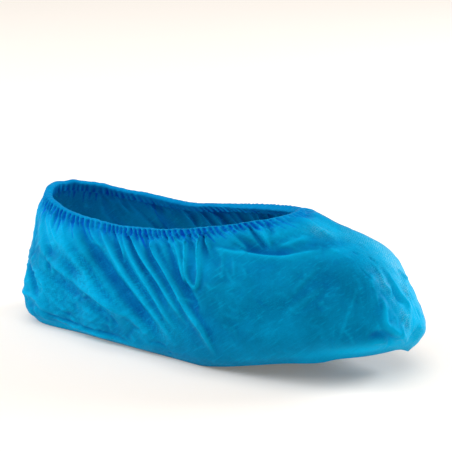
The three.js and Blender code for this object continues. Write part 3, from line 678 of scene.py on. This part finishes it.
def big_folds(plain, depth):
    """The named folds at places on the plain form, and the painted highlight lines of the crisp ones."""
    folds, crest_highlights = np.zeros(depth.shape), np.zeros(depth.shape)
    for fold in NEAR_FOLDS + FAR_FOLDS + MIDDLE_FOLDS:
        stamp(plain, fold, folds, crest_highlights, FOLD_NECK + (1 - FOLD_NECK) * grown(depth, FOLDS_WIDEN))
    shown = grown(depth, FOLDS_GROW)
    held = -HELD_IN - HELD_SLOPE * np.maximum(depth - HEM_FLAP, 0)
    return np.maximum(folds * shown, held), crest_highlights * shown


def rippled(at):
    """How far the uneven sole stands over its plain form."""
    pitch, height = SOLE_RIPPLE
    return height * np.abs(wander(at, pitch))


def standing_out(relief, of):
    """-1 to 1: how far the relief stands in or out of what is round it."""
    reach, full = of
    return np.clip((relief - blurred(relief, reach)) / full, -1, 1)


def flat_places(turn, along):
    """The flat coordinates of a grid, from turns round the cover and metres down its columns."""
    return np.stack([np.broadcast_to(turn * CUT_ROUND, along.shape).ravel(), along.ravel()], -1)


def film_grid():
    """The film as a grid of columns and rows: its places, the values that its material reads, and its
    flat coordinates in metres."""
    start = np.arange(COLUMNS)[:, None] / COLUMNS
    share = np.linspace(0, 1, SIDE_ROWS)[None]
    around = start - COLUMN_LEAN * np.sin(2 * np.pi * start) * share
    length = form.side_length(around)
    top = (HEM_HEIGHT - TUCK) / length
    down = top + (1 - top) * share
    depth = down * length
    plain = form.at(around, down)
    out = form.out(around, down)
    lift, drop = gathers(form.along_rim(start + 0 * share), depth)
    folds, crest_highlights = big_folds(plain, depth)
    creases = np.zeros(around.shape)
    for fold in small_creases():
        stamp(plain, fold, creases, crest_highlights, np.ones(around.shape))
    restless = np.clip(sum(hill(around, *row) for row in RESTLESS), 0, 1)
    at_toe = SMALL_FACETS_AT_TOE * hill(around, *TOE_RESTLESS)
    (pitch, height), (small_pitch, small), (swell_pitch, swell) = FACETS, SMALL_FACETS, SWELL
    facets = height * crushed(plain, pitch) + (small + at_toe) * crushed(plain, small_pitch)
    facets *= CALM_FILM + (1 - CALM_FILM) * restless
    loose = grown(depth, BELOW_HEM) * (creases + facets + swell * wander(plain, swell_pitch))
    relief = lift + ended(down, EDGE_CALM) * (folds + loose)
    relief += VAMP_OUT * bump(around, down, VAMP_AT, VAMP_WIDE)
    relief -= NOSE_IN * bump(around, down, NOSE_AT, NOSE_WIDE)
    places = plain + out * relief[..., None]
    forward = plain - form.spine_at(around)
    forward[..., 2] = 0
    forward /= np.linalg.norm(forward, axis=-1, keepdims=True)
    ahead = hill(around, TAIL_AT, TAIL_WIDE, TAIL_OUT) * grown(down, TAIL_FORWARD)
    places += forward * ahead[..., None]
    tail = hill(around, TAIL_AT, TAIL_WIDE, TAIL_DROP)
    lobe = hill(around, LOBE_AT, LOBE_WIDE, LOBE_DROP)
    places[..., 2] -= tail * grown(down, TAIL_HANGS) + lobe * grown(down, LOBE_HANGS)
    values = {key: shading(around, down, rows) for key, rows in PATCHES.items()}
    values["free"] = standing_out(relief, FREE_OF)
    values["fine"] = standing_out(relief, FINE_OF)
    # The painted highlight lines of the crisp crests.
    values["crest"] = crest_highlights
    values["drop"] = drop
    values["hem"] = ended(depth, HEM_TINT)
    # The sole goes on with the patches at its edge, and has nothing of the rest.
    grow = [(0, 0), (0, SOLE_ROWS)]
    for key, value in values.items():
        values[key] = np.pad(value, grow, "edge" if key in PATCHES else "constant")
    spine = form.spine_at(around[:, -1])
    foot = places[:, -1]
    sole = []
    for row in range(1, SOLE_ROWS + 1):
        at = foot + (spine - foot) * (1 - SOLE_BRIDGE) * row / SOLE_ROWS
        hang = (tail + lobe)[:, -1] * (1 - row / SOLE_ROWS) ** 2
        at[:, 2] = sole_lift(at[:, 1]) - hang + rippled(at)
        sole.append(at)
    places = np.concatenate([places, np.stack(sole, 1)], 1)
    places[..., 2] = np.maximum(places[..., 2], SOLE_LEAST)
    steps = np.linalg.norm(np.diff(places, axis=1, prepend=places[:, :1]), axis=2)
    return places, values, flat_places(start, np.cumsum(steps, 1) * MM)


def build_mesh(name, vertices, faces, values, flat):
    """A smooth mesh object from places in millimetres, with its values and its flat coordinates."""
    mesh = bpy.data.meshes.new(name)
    mesh.from_pydata((vertices * MM).tolist(), [], faces.tolist())
    mesh.shade_smooth()
    for key, value in values.items():
        attribute = mesh.attributes.new(key, "FLOAT", "POINT")
        attribute.data.foreach_set("value", value.astype(np.float32).ravel())
    corners = np.empty(len(mesh.loops), np.int32)
    mesh.loops.foreach_get("vertex_index", corners)
    flat_map = mesh.uv_layers.new(name="flat")
    flat_map.data.foreach_set("uv", flat[corners].astype(np.float32).ravel())
    piece = bpy.data.objects.new(name, mesh)
    bpy.context.scene.collection.objects.link(piece)
    return piece


def quads(columns, rows):
    """The faces of a grid that closes round the cover, facing out where rows run down."""
    c, r = np.meshgrid(np.arange(columns), np.arange(rows - 1), indexing="ij")
    after = (c + 1) % columns
    here, there = c * rows + r, after * rows + r
    return np.stack([here, there, there + 1, here + 1], -1).reshape(-1, 4)


# Points closer than this, in metres, are welded: the bridge has its end points more than once.
WELD = 0.00002


def make_film():
    """The film, from its grid and a bridge over the middle of the sole."""
    places, values, flat = film_grid()
    rows = places.shape[1]
    faces = quads(COLUMNS, rows)
    # The middle of the sole is bridged from each column to the one that faces it.
    half = COLUMNS // 2
    near = places[: half + 1, -1]
    far = places[-np.arange(half + 1) % COLUMNS, -1]
    inner = []
    for row in range(1, BRIDGE_ROWS):
        at = near + (far - near) * row / BRIDGE_ROWS
        at[:, 2] = np.maximum(sole_lift(at[:, 1]) + rippled(at), SOLE_LEAST)
        inner.append(at)
    inner = np.stack(inner, 1)
    base = COLUMNS * rows
    index = np.empty((half + 1, BRIDGE_ROWS + 1), int)
    index[:, 0] = np.arange(half + 1) * rows + rows - 1
    index[:, -1] = (-np.arange(half + 1) % COLUMNS) * rows + rows - 1
    index[:, 1:-1] = base + np.arange((half + 1) * (BRIDGE_ROWS - 1)).reshape(half + 1, -1)
    # The bridge of each of the two end columns is a single point.
    bridge = np.stack([index[:-1, :-1], index[1:, :-1], index[1:, 1:], index[:-1, 1:]], -1).reshape(-1, 4)
    inner[0] = places[0, -1]
    inner[-1] = places[half, -1]
    vertices = np.concatenate([places.reshape(-1, 3), inner.reshape(-1, 3)])
    extra = inner.shape[0] * inner.shape[1]
    values = {key: np.concatenate([value.ravel(), np.zeros(extra)]) for key, value in values.items()}
    flat = np.concatenate([flat, inner.reshape(-1, 3)[:, :2] * MM])
    piece = build_mesh("film_sheet", vertices, np.concatenate([faces, bridge]), values, flat)
    clean = piece.modifiers.new("weld", "WELD")
    clean.merge_threshold = WELD
    return piece


# The section of the hem: the radius over its top, the steps of a quarter of that bend, of the outside and
# of the flap inside, and the width of a step on the flat film, in metres.
BEND, BEND_STEPS, OUTER_STEPS, FLAP_STEPS, FLAT_STEP = 1.5, 6, 15, 6, 0.0006
# The hem rolls a little, by pitch and height, down to WOBBLE_TO.
WOBBLES, WOBBLE_TO = [(9, 0.25), (30, 0.35)], 4
# The gathers of the flap inside: how they differ from those outside, and their depth and height.
FLAP_STRETCH, FLAP_TURN, FLAP_DEPTH, FLAP_HEIGHT = 0.97, 0.31, 5.0, 0.8


def hem_section():
    """Steps of the hem, each as how far out and how far up it is: up, over the elastic and down again."""
    quarter = np.linspace(0, math.pi / 2, BEND_STEPS + 1)
    # The step where the bend starts is there twice, for an edge in the shading.
    section = [(0, up) for up in [*np.linspace(-HEM_HEIGHT, -BEND, OUTER_STEPS + 1), -BEND]]
    section += [(BEND * (math.cos(turn) - 1), BEND * (math.sin(turn) - 1)) for turn in quarter[1:]]
    section += [(BEND * (1 - math.sin(turn)) - HEM_WIDTH, BEND * (math.cos(turn) - 1)) for turn in quarter]
    flap = HEM_FLAP - BEND
    section += [(-HEM_WIDTH, -BEND - step * flap / FLAP_STEPS) for step in range(1, FLAP_STEPS + 1)]
    return section


def make_hem():
    """The hem: up outside, over the elastic, and a little way down again inside."""
    rim_share = np.arange(HEM_COLUMNS) / HEM_COLUMNS
    around = form.around_at(rim_share)
    at = form.at(around, 0 * around)
    up = at - form.at(around, HEM_HEIGHT / form.side_length(around))
    up /= np.linalg.norm(up, axis=1, keepdims=True)
    out = np.cross(up, np.roll(at, -1, 0) - np.roll(at, 1, 0))
    out /= np.linalg.norm(out, axis=1, keepdims=True)
    section = hem_section()
    flap_share = (rim_share * FLAP_STRETCH + FLAP_TURN) % 1
    flap_lift, flap_drop = gathers(flap_share, np.full(HEM_COLUMNS, FLAP_DEPTH))
    wobble = sum(height * wander(at, pitch) for pitch, height in WOBBLES)
    depths = np.array([-u for o, u in section])
    hanging = at[:, None] - up[:, None] * depths[None, :, None]
    folds = big_folds(hanging, depths[None] + np.zeros((HEM_COLUMNS, 1)))[0]
    rows, drops = [], []
    for k, (o, u) in enumerate(section):
        if o > -HEM_WIDTH / 2:
            lift, drop = gathers(rim_share, np.full(HEM_COLUMNS, -u))
            moved = o + lift + folds[:, k]
        else:
            deep = min(1, -u / HEM_FLAP)
            drop = flap_drop * deep
            moved = o - flap_lift * FLAP_HEIGHT * deep
        rolled = u + wobble * max(0, 1 + u / WOBBLE_TO)
        rows.append(at + out * moved[:, None] + up * rolled[:, None])
        drops.append(drop)
    # The rows run down inside out, so that the faces look outwards.
    places = np.stack(rows[::-1], 1).reshape(-1, 3)
    drop = np.stack(drops[::-1], 1)
    flat = flat_places(rim_share[:, None], np.arange(len(section)) * FLAT_STEP + np.zeros(drop.shape))
    values = {key: np.zeros(drop.size) for key in (*PATCHES, "free", "fine", "crest")}
    values["drop"] = drop.ravel()
    values["hem"] = np.ones(drop.size)
    return build_mesh("hem_gathers", places, quads(HEM_COLUMNS, len(section)), values, flat)


class Nodes:
    """A material's nodes, made and joined by name."""

    def __init__(self, name):
        self.material = bpy.data.materials.new(name)
        self.material.use_nodes = True
        self.tree = self.material.node_tree
        self.tree.nodes.clear()

    def add(self, kind, inputs=None, **settings):
        node = self.tree.nodes.new(kind)
        for key, value in settings.items():
            setattr(node, key, value)
        for key, value in (inputs or {}).items():
            if isinstance(value, bpy.types.NodeSocket):
                self.tree.links.new(value, node.inputs[key])
            else:
                node.inputs[key].default_value = value
        return node

    def value(self, name):
        return self.add("ShaderNodeAttribute", attribute_name=name).outputs["Fac"]

    def times(self, a, b, clamp=False):
        return self.add("ShaderNodeMath", {0: a, 1: b}, operation="MULTIPLY", use_clamp=clamp).outputs[0]

    def plus(self, a, b):
        return self.add("ShaderNodeMath", {0: a, 1: b}, operation="ADD").outputs[0]

    def noise(self, place, scale, detail):
        inputs = {"Vector": place, "Scale": float(scale), "Detail": float(detail)}
        return self.add("ShaderNodeTexNoise", inputs).outputs[0]

    def scaled(self, place, scales):
        return self.add("ShaderNodeVectorMath", {0: place, 1: scales}, operation="MULTIPLY").outputs[0]

    def mix(self, share, a, b):
        return self.add("ShaderNodeMix", {0: share, 6: a, 7: b}, data_type="RGBA").outputs[2]

    def remap(self, value, low, high, to_low=0.0, to_high=1.0):
        inputs = {0: value, 1: low, 2: high, 3: to_low, 4: to_high}
        return self.add("ShaderNodeMapRange", inputs, clamp=True).outputs[0]


# The film's blue and the tints laid over it, and the share of the light that comes through it. Besides the
# azure of the doubled hem and the paler clouds, the tints are painted light and shade: painted light, the
# darker green close on what the film is worn over together with painted shade, painted shade in hollows,
# the deep blue of doubled film in the drops with painted shade, painted highlights and painted glints.
FILM_BLUE = (0.001, 0.215, 0.44, 1)
FILM_LIT_AND_PALE = (0.002, 0.44, 0.84, 1)
FILM_CLOSE_SHADE = (0.0005, 0.13, 0.26, 1)
FILM_AZURE = (0.001, 0.24, 0.64, 1)
FILM_DOUBLED_AND_SHADED = (0.001, 0.085, 0.56, 1)
FILM_HOLLOW_SHADE = (0.0007, 0.1, 0.36, 1)
FILM_HIGHLIGHT = (0.002, 0.53, 0.9, 1)
FILM_GLINT = (0.3, 0.8, 0.95, 1)
SEEN_THROUGH = 0.12
# Fine lines in the film, from where it was drawn out: how far they rise towards the toe, and their
# fineness in and out, along and across, for each metre. The colour has painted sheen and painted shade on
# them.
DRAWN_ANGLE, DRAWN_SCALE = math.radians(38), (300, 50, 750)


def film_material(name):
    """Embossed polyethylene film: soft gloss, a little light through it, and small dots pressed in. Its
    colour has painted light, painted shade, painted highlights and painted glints.
    """
    n = Nodes(name)
    place = n.add("ShaderNodeTexCoord").outputs["Object"]
    flat = n.add("ShaderNodeUVMap", uv_map="flat").outputs[0]
    cloud = n.noise(place, 60, 4)
    streak = n.noise(place, 380, 3)
    patchy = n.noise(place, 110, 2)
    dots = n.add("ShaderNodeTexVoronoi", {"Vector": flat, "Scale": 700.0, "Randomness": 0.4}).outputs[0]
    ripple = n.add("ShaderNodeTexWave", {
        "Vector": n.scaled(flat, (-1, 1, 1)), "Scale": 125.0, "Distortion": 7.0, "Detail": 2.0,
        "Detail Scale": 3.0,
    }, bands_direction="DIAGONAL").outputs[1]
    turn = {"Vector": place, "Angle": DRAWN_ANGLE}
    turned = n.add("ShaderNodeVectorRotate", turn, rotation_type="X_AXIS")
    scratch = n.noise(n.scaled(turned.outputs[0], DRAWN_SCALE), 1, 2)
    free, fine, stretch, painted_light, gloss_glint = map(n.value, ("free", "fine", "stretch", "painted_light", "gloss_glint"))
    # How strong the painted highlight lines are: patchy, and full in the glossy patches.
    lit = n.plus(n.remap(patchy, 0.35, 0.65, 0.15, 0.6), gloss_glint)
    stretched = n.times(ripple, n.plus(stretch, 0.12))
    pressed = n.plus(n.plus(n.times(stretch, 0.45), n.times(painted_light, 0.15)), 0.12)
    shown = n.times(n.remap(patchy, 0.38, 0.62, 0.3, 1.0), pressed)
    embossed = n.times(n.remap(dots, 0.1, 0.5, 1.0, 0.0), shown)
    # Each layer of colour covers those above it in this list by its share.
    layers = [
        # Painted light where the film stands out of what is round it.
        (n.remap(free, 0.0, 0.9, 0.0, 0.5), FILM_LIT_AND_PALE),
        # Darker and greener where the film lies close on what it is worn over, and painted shade.
        (n.times(n.value("close_shade"), 0.65), FILM_CLOSE_SHADE),
        # Painted shade in hollows, large and small, and painted highlights on what stands out a little.
        (n.remap(free, 0.0, -0.9, 0.0, 0.75), FILM_HOLLOW_SHADE),
        (n.remap(fine, 0.0, 1.0, 0.0, 0.25), FILM_HIGHLIGHT),
        (n.remap(fine, 0.0, -1.0, 0.0, 0.7), FILM_HOLLOW_SHADE),
        # Painted light in its patches.
        (n.times(painted_light, 0.9), FILM_HIGHLIGHT),
        # Painted highlight lines on the crisp crests, stronger in the glossy patches.
        (n.times(n.value("crest"), lit, clamp=True), FILM_HIGHLIGHT),
        (n.times(n.value("hem"), 0.6), FILM_AZURE),
        # Deeper blue in the drops, where the film lies doubled, and painted shade in them.
        (n.remap(n.value("drop"), 0.05, 0.6), FILM_DOUBLED_AND_SHADED),
        (n.remap(cloud, 0.35, 0.7, 0.0, 0.25), FILM_LIT_AND_PALE),
        # Painted glints on the pressed dots, painted sheen on the ripples and painted shade between the
        # dots.
        (embossed, FILM_HIGHLIGHT),
        (n.times(stretched, 0.3), FILM_HIGHLIGHT),
        (n.remap(dots, 0.45, 0.75, 0.0, 0.1), FILM_CLOSE_SHADE),
        # Painted glints on the dots in the glossy patches.
        (n.times(n.times(embossed, gloss_glint), 4.0, clamp=True), FILM_GLINT),
        # Painted sheen along the fine drawn lines and painted shade beside them.
        (n.remap(scratch, 0.56, 0.74, 0.0, 0.22), FILM_HIGHLIGHT),
        (n.remap(scratch, 0.44, 0.26, 0.0, 0.15), FILM_CLOSE_SHADE),
    ]
    colour = FILM_BLUE
    for share, tint in layers:
        colour = n.mix(share, colour, tint)
    height = n.plus(n.times(embossed, n.plus(n.times(gloss_glint, 2.0), 1.6)), n.times(streak, 0.25))
    height = n.plus(n.plus(height, n.times(stretched, 0.5)), n.times(scratch, 0.5))
    relief = {"Height": height, "Strength": 0.6, "Distance": 0.0004}
    normal = n.add("ShaderNodeBump", relief).outputs[0]
    body = n.add("ShaderNodeBsdfPrincipled", {
        "Base Color": colour,
        "Roughness": n.remap(streak, 0.3, 0.7, 0.26, 0.42),
        "IOR": 1.38,
        "Specular IOR Level": 0.02,
        "Specular Tint": (0.1, 0.7, 1, 1),
        "Coat Weight": n.times(gloss_glint, 0.32),
        "Coat Roughness": 0.1,
        "Coat Normal": normal,
        "Normal": normal,
    })
    through = n.add("ShaderNodeBsdfTranslucent", {"Color": colour, "Normal": normal})
    mixed = n.add("ShaderNodeMixShader", {0: SEEN_THROUGH, 1: body.outputs[0], 2: through.outputs[0]})
    n.add("ShaderNodeOutputMaterial", {0: mixed.outputs[0]})
    return n.material


def elastic_material():
    """Pale knitted elastic: fine ribs along it, matt."""
    n = Nodes("elastic_knit")
    place = n.add("ShaderNodeTexCoord").outputs["Object"]
    ribs = n.add("ShaderNodeTexWave", {"Vector": place, "Scale": 500.0, "Distortion": 2.0}).outputs[1]
    colour = n.mix(ribs, (0.62, 0.64, 0.63, 1), (0.8, 0.81, 0.8, 1))
    knit = n.add("ShaderNodeBump", {"Height": ribs, "Strength": 0.5, "Distance": 0.0002}).outputs[0]
    body = n.add("ShaderNodeBsdfPrincipled", {"Base Color": colour, "Roughness": 0.75, "Normal": knit})
    n.add("ShaderNodeOutputMaterial", {0: body.outputs[0]})
    return n.material


FLOOR_SIZE = 14


def make_floor():
    """A plain floor with a slight warm glow, which lifts the cover's shadow."""
    bpy.ops.mesh.primitive_plane_add(size=FLOOR_SIZE)
    floor = bpy.context.object
    floor.name = "floor"
    n = Nodes("floor_white")
    body = n.add("ShaderNodeBsdfPrincipled", {
        "Base Color": (0.85, 0.82, 0.79, 1),
        "Roughness": 0.9,
        "Emission Color": (1, 0.77, 0.5, 1),
        "Emission Strength": 0.16,
    })
    n.add("ShaderNodeOutputMaterial", {0: body.outputs[0]})
    floor.data.materials.append(n.material)


# The middle of the cover, which the lamps look at.
MIDDLE = Vector((0, 0, 0.05))
WORLD_STRENGTH = 0.36
SKY_STRENGTH, SKY_ANGLE, SKY_HEADING = 1.5, 60, Vector((0.3, 0.1, -1))


def looking(name, data, place, target):
    """A lamp or camera at a place, turned to its target."""
    made = bpy.data.objects.new(name, data)
    made.location = place
    made.rotation_euler = (target - made.location).to_track_quat("-Z", "Y").to_euler()
    bpy.context.scene.collection.objects.link(made)
    return made


def softbox(name, energy, size, place):
    """A rectangular lamp that looks at the cover."""
    lamp = bpy.data.lights.new(name, "AREA")
    lamp.energy = energy
    lamp.shape = "RECTANGLE"
    lamp.size, lamp.size_y = size
    looking(name, lamp, place, MIDDLE)


def make_lights():
    """An even white surrounding, a wide soft light from above and two softboxes."""
    world = bpy.data.worlds.new("studio")
    bpy.context.scene.world = world
    world.use_nodes = True
    background = world.node_tree.nodes["Background"]
    background.inputs[0].default_value = (1, 1, 1, 1)
    background.inputs[1].default_value = WORLD_STRENGTH
    sky = bpy.data.lights.new("overhead", "SUN")
    sky.energy = SKY_STRENGTH
    sky.angle = math.radians(SKY_ANGLE)
    looking("overhead", sky, (0, 0, 0), SKY_HEADING)
    softbox("heel_softbox", 17.5, (0.5, 0.9), (-0.75, 1.5, 0.75))
    softbox("toe_softbox", 24, (0.9, 0.5), (1.35, -1.05, 0.8))


# The camera: the photograph's angle to the cover in degrees, round from the toe to the wearer's right and
# up from the floor, and the place of the cover's middle in the picture, in pixels from its top left.
CAMERA_AROUND, CAMERA_ABOVE = -57, 17.5
CAMERA_DISTANCE, CAMERA_LENS = 1.1, 123.4
PICTURE, SENSOR = 452, 36
MIDDLE_AT = (215, 275)


def make_camera():
    """The camera, aimed so that the cover lies in the picture as in the photograph."""
    data = bpy.data.cameras.new("camera")
    data.lens = CAMERA_LENS
    data.sensor_width = SENSOR
    around, above = math.radians(CAMERA_AROUND), math.radians(CAMERA_ABOVE)
    level = math.cos(above)
    back = Vector((math.sin(around) * level, -math.cos(around) * level, math.sin(above)))
    pixel = CAMERA_DISTANCE * SENSOR / CAMERA_LENS / PICTURE
    right = Vector((0, 0, 1)).cross(back).normalized()
    upward = back.cross(right)
    aside, higher = PICTURE / 2 - MIDDLE_AT[0], MIDDLE_AT[1] - PICTURE / 2
    aim = MIDDLE + right * aside * pixel + upward * higher * pixel
    bpy.context.scene.camera = looking("camera", data, MIDDLE + back * CAMERA_DISTANCE, aim)


make_camera()
make_floor()
make_lights()
bpy.context.scene.view_settings.view_transform = "Standard"

film = make_film()
film.data.materials.append(film_material("blue_film"))
hem = make_hem()
hem.data.materials.append(film_material("gathered_blue_film"))
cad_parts["elastic_band"].data.materials.clear()
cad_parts["elastic_band"].data.materials.append(elastic_material())

dressed = ((film, ("film_side", "film_sole"), "film"), (hem, ("gathered_hem",), "hem_film"))
for piece, nodes, material_slot in dressed:
    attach(piece, "root")
    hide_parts(*nodes)
